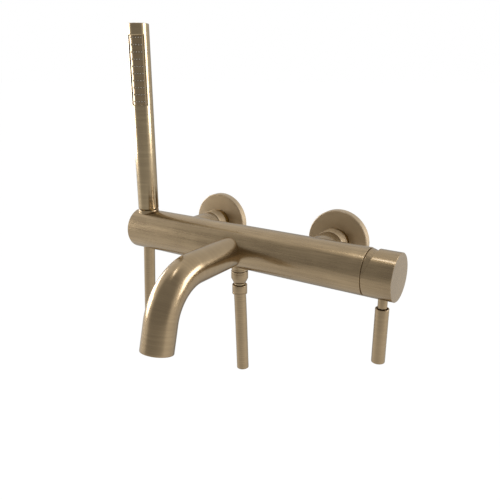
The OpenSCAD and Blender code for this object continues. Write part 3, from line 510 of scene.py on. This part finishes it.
def addNozzles():
    n = spray
    low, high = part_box("nozzle_mat")
    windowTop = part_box("spray_plate")[1].z * 1000 + n["plateGap"]
    centre = Vector((handsetX, axisY, 0))
    points, faces, brush = [], [], []

    def outward(degrees):
        turn = math.radians(degrees + n["turn"])
        return Vector((math.sin(turn), -math.cos(turn), 0))

    def addLoops(loops, segments, closed):
        start = len(points)
        index = []
        for loop in loops:
            index.append([start + k for k in range(len(loop))])
            start += len(loop)
            points.extend(loop)
            brush.extend([(p.z, p.x, p.y) for p in loop])
        faces.extend(skin(index, segments, closed))

    # the mat itself: a bent sheet
    steps = n["matSteps"]
    loops = []
    for k in range(steps + 1):
        way = outward(-n["halfAngle"] + 2 * n["halfAngle"] * k / steps)
        inner, outer = centre + way * n["matInner"] / 1000, centre + way * n["rootRadius"] / 1000
        loops.append([inner + zAxis * low.z, outer + zAxis * low.z, outer + zAxis * high.z,
                      inner + zAxis * high.z])
    base = len(points)
    addLoops(loops, 4, False)
    faces.append([base + k for k in range(4)])
    faces.append([base + 4 * steps + k for k in range(4)])
    # the tips: rings from the root out to the mouth and down the hole, closed at both ends
    end, around = n["tipRadius"], n["segments"]
    profile = [(n["root"], n["rootRadius"] - n["sunk"]), (n["root"], end - n["taper"]),
               (n["tip"], end - n["round"]), (n["tip"] - n["round"], end), (n["hole"], end),
               (n["hole"] - n["drillTaper"], end - n["drilled"])]
    for row in range(n["rows"]):
        z = (windowTop - n["firstDown"] - row * n["pitch"]) / 1000
        for column in n["columns"]:
            way = outward(column)
            side = zAxis.cross(way)
            loops = []
            for r, out in profile:
                middle = centre + way * out / 1000 + zAxis * z
                turns = [2 * math.pi * k / around for k in range(around)]
                loops.append([middle + (side * math.cos(t) + zAxis * math.sin(t)) * r / 1000
                              for t in turns])
            loops.insert(0, [sum(loops[0], Vector()) / around])
            loops.append([sum(loops[-1], Vector()) / around])
            addLoops(loops, around, False)
    piece = addMesh("nozzleMatDetail", points, faces, brush, sharp=40)
    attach(piece, "hand_shower")
    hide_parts("nozzle_mat")
    return piece


nozzlePiece = addNozzles()

# a rolled rim that closes the step round the spray plate on three sides: it rises from the
# plate's face (radius base) to the tube's, and its width is cut at the shares in rounding
rim = {"width": 1.45, "gap": 0.12, "rise": 0.82, "base": 10.13, "windowWidth": 17.2, "sideGap": 0.6,
       "thickness": 0.5, "rounding": (0, 0.1, 0.25, 0.45, 0.7, 1.0), "acrossSteps": 20,
       "alongSteps": 30}


def addSprayRim():
    low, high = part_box("spray_plate")
    edge = rim["windowWidth"] / 2 - rim["gap"]
    left = -rim["windowWidth"] / 2 + rim["sideGap"]
    bottom = low.z * 1000 - spray["plateGap"] + rim["gap"]
    top = high.z * 1000 + spray["plateGap"] - rim["gap"]
    inward = [rim["width"] * t for t in rim["rounding"]]
    inner = edge - rim["width"]
    steps = rim["acrossSteps"]
    across = [left + (inner - left) * k / steps for k in range(steps)]
    across += [edge - d for d in reversed(inward)]
    steps = rim["alongSteps"]
    between = top - bottom - 2 * rim["width"]
    lengthwise = [bottom + d for d in inward]
    lengthwise += [bottom + rim["width"] + between * k / steps for k in range(1, steps)]
    lengthwise += [top - d for d in reversed(inward)]
    turn = math.radians(spray["turn"])
    points, brush, faces = [], [], []
    for z in lengthwise:
        for x in across:
            nearest = min(edge - x, z - bottom, top - z) / rim["width"]
            rise = max(0, 1 - nearest)
            r = rim["base"] + rim["rise"] * (1 - (1 - rise) ** 2)
            y = -math.sqrt(r * r - x * x)
            for depth in (1, 1 - rim["thickness"] / r):
                sideways, out = x * depth, y * depth
                points.append((handsetX + (sideways * math.cos(turn) - out * math.sin(turn)) / 1000,
                               axisY + (sideways * math.sin(turn) + out * math.cos(turn)) / 1000,
                               z / 1000))
                brush.append((z / 1000, x / 1000, y / 1000))
    width = len(across)
    for row in range(len(lengthwise) - 1):
        for k in range(width - 1):
            middleX = (across[k] + across[k + 1]) / 2
            middleZ = (lengthwise[row] + lengthwise[row + 1]) / 2
            if min(edge - middleX, middleZ - bottom, top - middleZ) < rim["width"]:
                a = 2 * (row * width + k)
                faces.append((a, a + 2, a + 2 * width + 2, a + 2 * width))
    # the same faces again underneath, and a wall along every free edge
    sides = [tuple(sorted((face[k - 1], face[k]))) for face in faces for k in range(4)]
    free = [pair for pair in set(sides) if sides.count(pair) == 1]
    faces += [tuple(v + 1 for v in face) for face in faces]
    faces += [(a, b, b + 1, a + 1) for a, b in sorted(free)]
    used = sorted({v for face in faces for v in face})
    order = {v: n for n, v in enumerate(used)}
    piece = addMesh("sprayRim", [points[v] for v in used],
                    [[order[v] for v in face] for face in faces], [brush[v] for v in used],
                    sharp=60)
    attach(piece, "hand_shower")
    return piece


rimPiece = addSprayRim()
print("nozzles and spray rim made")


def toLinear(hexColour):
    # the sRGB curve undone, with an opaque alpha
    values = [int(hexColour[k:k + 2], 16) / 255 for k in (1, 3, 5)]
    return [v / 12.92 if v <= 0.04045 else ((v + 0.055) / 1.055) ** 2.4 for v in values] + [1]


def addNode(tree, kind, settings=None, links=None):
    node = tree.nodes.new(kind)
    # a setting is a ramp's stops, an input's value or a property of the node
    for key, value in (settings or {}).items():
        if key == "stops":
            stops = node.color_ramp.elements
            while len(stops) < len(value):
                stops.new(0.5)    # placed just below
            for stop, (place, colour) in zip(stops, value):
                stop.position, stop.color = place, toLinear(colour)
        elif isinstance(key, int) or key in node.inputs:
            node.inputs[key].default_value = value
        else:
            setattr(node, key, value)
    for key, source in (links or {}).items():
        tree.links.new(source, node.inputs[key])
    return node


def newMaterial(name):
    material = bpy.data.materials.new(name)
    material.use_nodes = True
    tree = material.node_tree
    tree.nodes.clear()
    return material, tree, addNode(tree, "ShaderNodeOutputMaterial")


# brushed bronze-coloured coating on brass: long fine strokes, a warm brown grey, soft
# highlights under a clear lacquer
bronze = {
    # colours between the strokes, on average and on the strokes
    "tones": ("#826c51", "#9d8766", "#b8a07c"),
    "uprightTones": ("#89755b", "#a5916f", "#c0aa87"),
    # the rosettes' paler tones are painted light: the same bronze, lightened to make up for light
    # that the rosettes lack
    "rosettePaintedLightTones": ("#958065", "#b39f80", "#cdb694"),
    "strokeLength": 38, "strokeWidth": 0.4, "bandLength": 50, "bandWidth": 2.4, "cloud": 22,    # mm
    "noise": {"Scale": 1.0, "Detail": 3.0, "Roughness": 0.6}, "cloudDetail": 3.0,
    "bandShare": 0.55, "cloudShare": 0.25,    # how much of the pattern they are
    "toneSpread": 0.17,      # a greater one makes the tones more even
    "leastStrength": 0.2,    # added to a finish's strength where it sets the tones apart
    "roughnessSpread": 0.07, "roughnessFrom": (0.35, 0.65),    # the pattern's part that it uses
    "bump": 0.11, "depth": 0.012,    # the bump node's strength, and its distance in mm
    "lacquer": 0.7, "lacquerRoughness": 0.09, "edgeTint": "#efe6d6",
}


def brushedBronze(name, place, slow, strength, roughness, tones="tones"):
    # place is where the strokes are measured; slow lists the axes that they run along
    dark, mean, pale = bronze[tones]
    material, tree, output = newMaterial(name)
    if place == "brush":
        where = addNode(tree, "ShaderNodeAttribute", {"attribute_name": "brush"}).outputs["Vector"]
    else:
        where = addNode(tree, "ShaderNodeTexCoord").outputs["Object"]

    def strokes(width, length):
        scale = [1000 / length if k in slow else 1000 / width for k in range(3)]
        stretched = addNode(tree, "ShaderNodeMapping", {"Scale": scale}, {"Vector": where})
        return addNode(tree, "ShaderNodeTexNoise", bronze["noise"],
                       {"Vector": stretched.outputs["Vector"]}).outputs["Fac"]

    fine = strokes(bronze["strokeWidth"], bronze["strokeLength"])
    bands = strokes(bronze["bandWidth"], bronze["bandLength"])
    cloud = addNode(tree, "ShaderNodeTexNoise",
                    {"Scale": 1000 / bronze["cloud"], "Detail": bronze["cloudDetail"]},
                    {"Vector": where}).outputs["Fac"]
    mixed = addNode(tree, "ShaderNodeMix", {"data_type": "FLOAT", "Factor": bronze["bandShare"]},
                    {"A": fine, "B": bands}).outputs["Result"]
    mixed = addNode(tree, "ShaderNodeMix", {"data_type": "FLOAT", "Factor": bronze["cloudShare"]},
                    {"A": mixed, "B": cloud}).outputs["Result"]
    spread = bronze["toneSpread"] / (strength + bronze["leastStrength"])
    colour = addNode(tree, "ShaderNodeValToRGB",
                     {"stops": [(0.5 - spread, dark), (0.5, mean), (0.5 + spread, pale)]},
                     {"Fac": mixed}).outputs["Color"]
    change = bronze["roughnessSpread"] * strength
    rough = addNode(tree, "ShaderNodeMapRange",
                    {"From Min": bronze["roughnessFrom"][0], "From Max": bronze["roughnessFrom"][1],
                     "To Min": roughness - change, "To Max": roughness + change},
                    {"Value": mixed})
    bump = addNode(tree, "ShaderNodeBump",
                   {"Strength": bronze["bump"] * strength, "Distance": bronze["depth"] / 1000},
                   {"Height": fine})
    # the lacquer over the strokes is smooth: it adds the whiter, sharper highlights
    metal = addNode(tree, "ShaderNodeBsdfPrincipled",
                    {"Metallic": 1.0, "Coat Weight": bronze["lacquer"],
                     "Coat Roughness": bronze["lacquerRoughness"],
                     "Specular Tint": toLinear(bronze["edgeTint"])},
                    {"Base Color": colour, "Roughness": rough.outputs["Result"],
                     "Normal": bump.outputs["Normal"]})
    tree.links.new(metal.outputs["BSDF"], output.inputs["Surface"])
    return material


# a plain finish with a fine grain: machined, lapped, moulded or cast
plainGrain = {
    "detail": 4.0, "noiseRoughness": 0.55, "tonesFrom": (0.35, 0.65), "roughnessFrom": (0.3, 0.7),
    "roughnessChange": 0.15, "depthShare": 0.2,    # of the grain's size
}


def plainFinish(name, tones, metallic, roughness, grain, bump):
    p = plainGrain
    material, tree, output = newMaterial(name)
    place = addNode(tree, "ShaderNodeTexCoord").outputs["Object"]
    noise = addNode(tree, "ShaderNodeTexNoise",
                    {"Scale": 1000 / grain, "Detail": p["detail"], "Roughness": p["noiseRoughness"]},
                    {"Vector": place}).outputs["Fac"]
    colour = addNode(tree, "ShaderNodeValToRGB", {"stops": list(zip(p["tonesFrom"], tones))},
                     {"Fac": noise}).outputs["Color"]
    rough = addNode(tree, "ShaderNodeMapRange",
                    {"From Min": p["roughnessFrom"][0], "From Max": p["roughnessFrom"][1],
                     "To Min": roughness * (1 - p["roughnessChange"]),
                     "To Max": roughness * (1 + p["roughnessChange"])}, {"Value": noise})
    relief = addNode(tree, "ShaderNodeBump",
                     {"Strength": bump, "Distance": grain * p["depthShare"] / 1000},
                     {"Height": noise})
    shader = addNode(tree, "ShaderNodeBsdfPrincipled", {"Metallic": metallic},
                     {"Base Color": colour, "Roughness": rough.outputs["Result"],
                      "Normal": relief.outputs["Normal"]})
    tree.links.new(shader.outputs["BSDF"], output.inputs["Surface"])
    return material


# strength is how much the strokes show, in tone, roughness and bump
bronzeFinishes = {
    # along the body, bonnet and cap: straight strokes that draw the highlights out lengthwise
    "brushedBronzeLengthwise": {"place": "object", "slow": (0,), "strength": 0.5, "roughness": 0.28},
    # round the hand shower's tube and other upright pieces: paler, with a clear highlight
    "brushedBronzeRoundUpright": {"place": "object", "slow": (0, 1), "strength": 0.3,
                                  "roughness": 0.2, "tones": "uprightTones"},
    # the spray plate: nearly plain and the smoothest, so that its holes stand out
    "brushedBronzeSprayFace": {"place": "object", "slow": (0, 1), "strength": 0.1,
                               "roughness": 0.13},
    # round the diverter's button, whose axis runs level towards the wall
    "brushedBronzeRoundLevel": {"place": "object", "slow": (0, 2), "strength": 0.4,
                                "roughness": 0.28},
    # round the turned and bent pieces, following each one's own axis: faint strokes
    "brushedBronzeRound": {"place": "brush", "slow": (1, 2), "strength": 0.2, "roughness": 0.25},
    # the wall rosettes: a duller and more even satin; their paler tones are painted light, the same
    # bronze lightened where the studio leaves it too dark
    "brushedBronzeRosette": {"place": "brush", "slow": (1, 2), "strength": 0.3,
                             "roughness": 0.62, "tones": "rosettePaintedLightTones"},
}
# grain in mm
plainFinishes = {
    # machined bare brass: yellower than the bronze
    "turnedBrass": {"tones": ("#a88a4e", "#c2a566"), "metallic": 1.0, "roughness": 0.32,
                    "grain": 0.5, "bump": 0.2},
    # turned stainless steel: neutral grey and bright
    "stainlessSteel": {"tones": ("#a3a3a2", "#bdbdbc"), "metallic": 1.0, "roughness": 0.28,
                       "grain": 0.4, "bump": 0.15},
    # lapped alumina: ivory white, nearly polished
    "aluminaCeramic": {"tones": ("#e0dbce", "#ece8de"), "metallic": 0.0, "roughness": 0.16,
                       "grain": 0.3, "bump": 0.05},
    # moulded acetal: pale grey, satin
    "acetalPlastic": {"tones": ("#c9c7c1", "#d6d4cf"), "metallic": 0.0, "roughness": 0.45,
                      "grain": 0.6, "bump": 0.15},
    # nitrile seals: nearly black, dull
    "nitrileRubber": {"tones": ("#1c1c1e", "#29292b"), "metallic": 0.0, "roughness": 0.62,
                      "grain": 0.5, "bump": 0.3},
    # the nozzles' silicone: a warm grey that stands out a little from the bronze
    "siliconeRubber": {"tones": ("#8d8371", "#9d927f"), "metallic": 0.0, "roughness": 0.5,
                       "grain": 0.4, "bump": 0.2},
}
finish = {name: brushedBronze(name, **values) for name, values in bronzeFinishes.items()}
finish.update({name: plainFinish(name, **values) for name, values in plainFinishes.items()})

# finishes of the CAD nodes: by name, and by slot for the others
nodeFinishes = {
    "valve_body": "brushedBronzeLengthwise", "bonnet": "brushedBronzeLengthwise",
    "handle_cap": "brushedBronzeLengthwise", "diverter_button": "brushedBronzeRoundLevel",
    "spray_plate": "brushedBronzeSprayFace",
}
slotFinishes = {
    "brushed_bronze": "brushedBronzeRoundUpright", "plain_brass": "turnedBrass",
    "rubber_seal": "nitrileRubber", "ceramic_disc": "aluminaCeramic",
    "moulded_plastic": "acetalPlastic", "stainless_steel": "stainlessSteel",
    "hose_cover": "brushedBronzeRound",
}
pieceFinishes = [
    ("brushedBronzeRound", [outletHose, handsetHose, spoutPiece, holderPiece] + outletPieces
     + leverPieces),
    ("brushedBronzeRosette", wallPieces), ("brushedBronzeRoundUpright", [rimPiece]),
    ("siliconeRubber", [nozzlePiece]), ("stainlessSteel", [springPiece]),
]


def applyFinishes():
    for part in frame["record"]["subparts"]:
        name = nodeFinishes.get(part["node"], slotFinishes[part["material_slot"]])
        for slot in nodes[part["node"]].material_slots:
            slot.material = finish[name]
    for name, pieces in pieceFinishes:
        for piece in pieces:
            piece.data.materials.append(finish[name])


applyFinishes()
print("materials made")

# studio: bright surroundings, darker in front of the object, and a pale floor far below
studio = {
    "floorZ": -1.1, "floorSize": 400,    # metres
    "floorColour": "#e9e9e8", "floorGlow": 0.9, "paint": 0.16,
    "ambient": 0.8,    # light from all round on dull surfaces
    # what the metal mirrors: a plain level, brighter at the sides and above
    "mirrored": 0.76, "sides": 0.3, "sky": 0.1,
    # the dimmer part behind: its direction and the edge where it begins
    "rearDim": 0.4, "rearWay": (-0.53, 0.77, -0.36), "rearEdge": (0.58, 0.97),
    # the dark patch in front: its level and direction, and its edges round, below and left
    "unlit": 0.375, "frontWay": (0.2, -0.93, 0.31), "frontEdge": (0.1, 0.5),
    "lowEdge": (-0.5, 0.05), "leftEdge": (-0.78, -0.5),
}
# panels: place and size in metres, power in watts
lamps = {
    "left": {"place": (-1.25, -0.23, 0.18), "size": (1.1, 0.5), "power": 13, "colour": "#f2f5ff"},
    "right": {"place": (1.2, 0.5, 0.3), "size": (0.64, 0.7), "power": 9.5, "colour": "#f2f5ff"},
    "top": {"place": (-0.16, -0.24, 1.2), "size": (0.3, 0.12), "power": 0.68, "colour": "#ffffff"},
}
white = (1, 1, 1, 1)


def addStudio():
    world = bpy.data.worlds.new("studioWorld")
    scene.world = world
    world.use_nodes = True
    tree = world.node_tree
    tree.nodes.clear()
    # the backdrop is plain white where the camera sees it, straight or through something clear
    path = addNode(tree, "ShaderNodeLightPath")
    seen = addNode(tree, "ShaderNodeMath", {"operation": "MAXIMUM"},
                   {0: path.outputs["Is Camera Ray"], 1: path.outputs["Is Transmission Ray"]})
    way = addNode(tree, "ShaderNodeTexCoord").outputs["Generated"]
    split = addNode(tree, "ShaderNodeSeparateXYZ", links={"Vector": way})
    facing = addNode(tree, "ShaderNodeVectorMath",
                     {"operation": "DOT_PRODUCT", 1: studio["frontWay"]}, {0: way})
    behind = addNode(tree, "ShaderNodeVectorMath",
                     {"operation": "DOT_PRODUCT", 1: studio["rearWay"]}, {0: way})
    # soft edges of the parts listed in studio
    soft = {}
    for edge, value in (("frontEdge", facing.outputs["Value"]), ("lowEdge", split.outputs["Z"]),
                        ("leftEdge", split.outputs["X"]), ("rearEdge", behind.outputs["Value"])):
        soft[edge] = addNode(tree, "ShaderNodeMapRange",
                             {"interpolation_type": "SMOOTHSTEP", "From Min": studio[edge][0],
                              "From Max": studio[edge][1]}, {"Value": value}).outputs["Result"]
    # the plain level, a little brighter from the sides and above
    aside = addNode(tree, "ShaderNodeMath", {"operation": "MULTIPLY"},
                    {0: split.outputs["X"], 1: split.outputs["X"]})
    aside = addNode(tree, "ShaderNodeMath",
                    {"operation": "MULTIPLY_ADD", 1: studio["sides"], 2: studio["mirrored"]},
                    {0: aside.outputs["Value"]})
    above = addNode(tree, "ShaderNodeMapRange", {"To Max": studio["sky"]},
                    {"Value": split.outputs["Z"]})
    level = addNode(tree, "ShaderNodeMath", {"operation": "ADD"},
                    {0: aside.outputs["Value"], 1: above.outputs["Result"]})
    # dimmer behind the object
    level = addNode(tree, "ShaderNodeMath", {"operation": "MULTIPLY_ADD", 1: -studio["rearDim"]},
                    {0: soft["rearEdge"], 2: level.outputs["Value"]})
    # a soft dark patch in front, above the floor and right of the big left panel
    patch = addNode(tree, "ShaderNodeMath", {"operation": "MULTIPLY"},
                    {0: soft["frontEdge"], 1: soft["lowEdge"]})
    patch = addNode(tree, "ShaderNodeMath", {"operation": "MULTIPLY"},
                    {0: patch.outputs["Value"], 1: soft["leftEdge"]})
    strength = addNode(tree, "ShaderNodeMapRange", {"To Max": studio["unlit"]},
                       {"Value": patch.outputs["Value"], "To Min": level.outputs["Value"]})
    plain = addNode(tree, "ShaderNodeBackground", {"Color": white, "Strength": studio["ambient"]})
    shine = addNode(tree, "ShaderNodeBackground", {"Color": white},
                    {"Strength": strength.outputs["Result"]})
    backdrop = addNode(tree, "ShaderNodeBackground", {"Color": white, "Strength": 1.0})
    glossy = addNode(tree, "ShaderNodeMixShader", links={0: path.outputs["Is Glossy Ray"],
                     1: plain.outputs["Background"], 2: shine.outputs["Background"]})
    final = addNode(tree, "ShaderNodeMixShader", links={0: seen.outputs["Value"],
                    1: glossy.outputs["Shader"], 2: backdrop.outputs["Background"]})
    output = addNode(tree, "ShaderNodeOutputWorld")
    tree.links.new(final.outputs["Shader"], output.inputs["Surface"])


def addFloor():
    half = studio["floorSize"] / 2
    z = studio["floorZ"]
    floor = addMesh("floor", [(-half, -half, z), (half, -half, z), (half, half, z), (-half, half, z)],
                    [(0, 1, 2, 3)])
    material, tree, output = newMaterial("paleFloor")
    # a white glow that meets the background, and some paint on top that takes the soft shadow
    paint = addNode(tree, "ShaderNodeBsdfDiffuse", {"Color": toLinear(studio["floorColour"])})
    glow = addNode(tree, "ShaderNodeEmission",
                   {"Color": white, "Strength": studio["floorGlow"] / (1 - studio["paint"])})
    mixed = addNode(tree, "ShaderNodeMixShader", {0: studio["paint"]},
                    {1: glow.outputs["Emission"], 2: paint.outputs["BSDF"]})
    tree.links.new(mixed.outputs["Shader"], output.inputs["Surface"])
    floor.data.materials.append(material)
    floor.visible_glossy = False


def addLamps():
    for name, lamp in lamps.items():
        data = bpy.data.lights.new(name + "Lamp", "AREA")
        data.shape = "RECTANGLE"
        data.size, data.size_y = lamp["size"]
        data.energy = lamp["power"]
        data.color = toLinear(lamp["colour"])[:3]
        light = bpy.data.objects.new(name + "Lamp", data)
        light.location = lamp["place"]
        aim = Vector((0, axisY, axisZ)) - Vector(lamp["place"])
        light.rotation_euler = aim.to_track_quat("-Z", "Y").to_euler()
        scene.collection.objects.link(light)


addStudio()
addFloor()
addLamps()
scene.view_settings.view_transform = "Standard"
print("studio made")
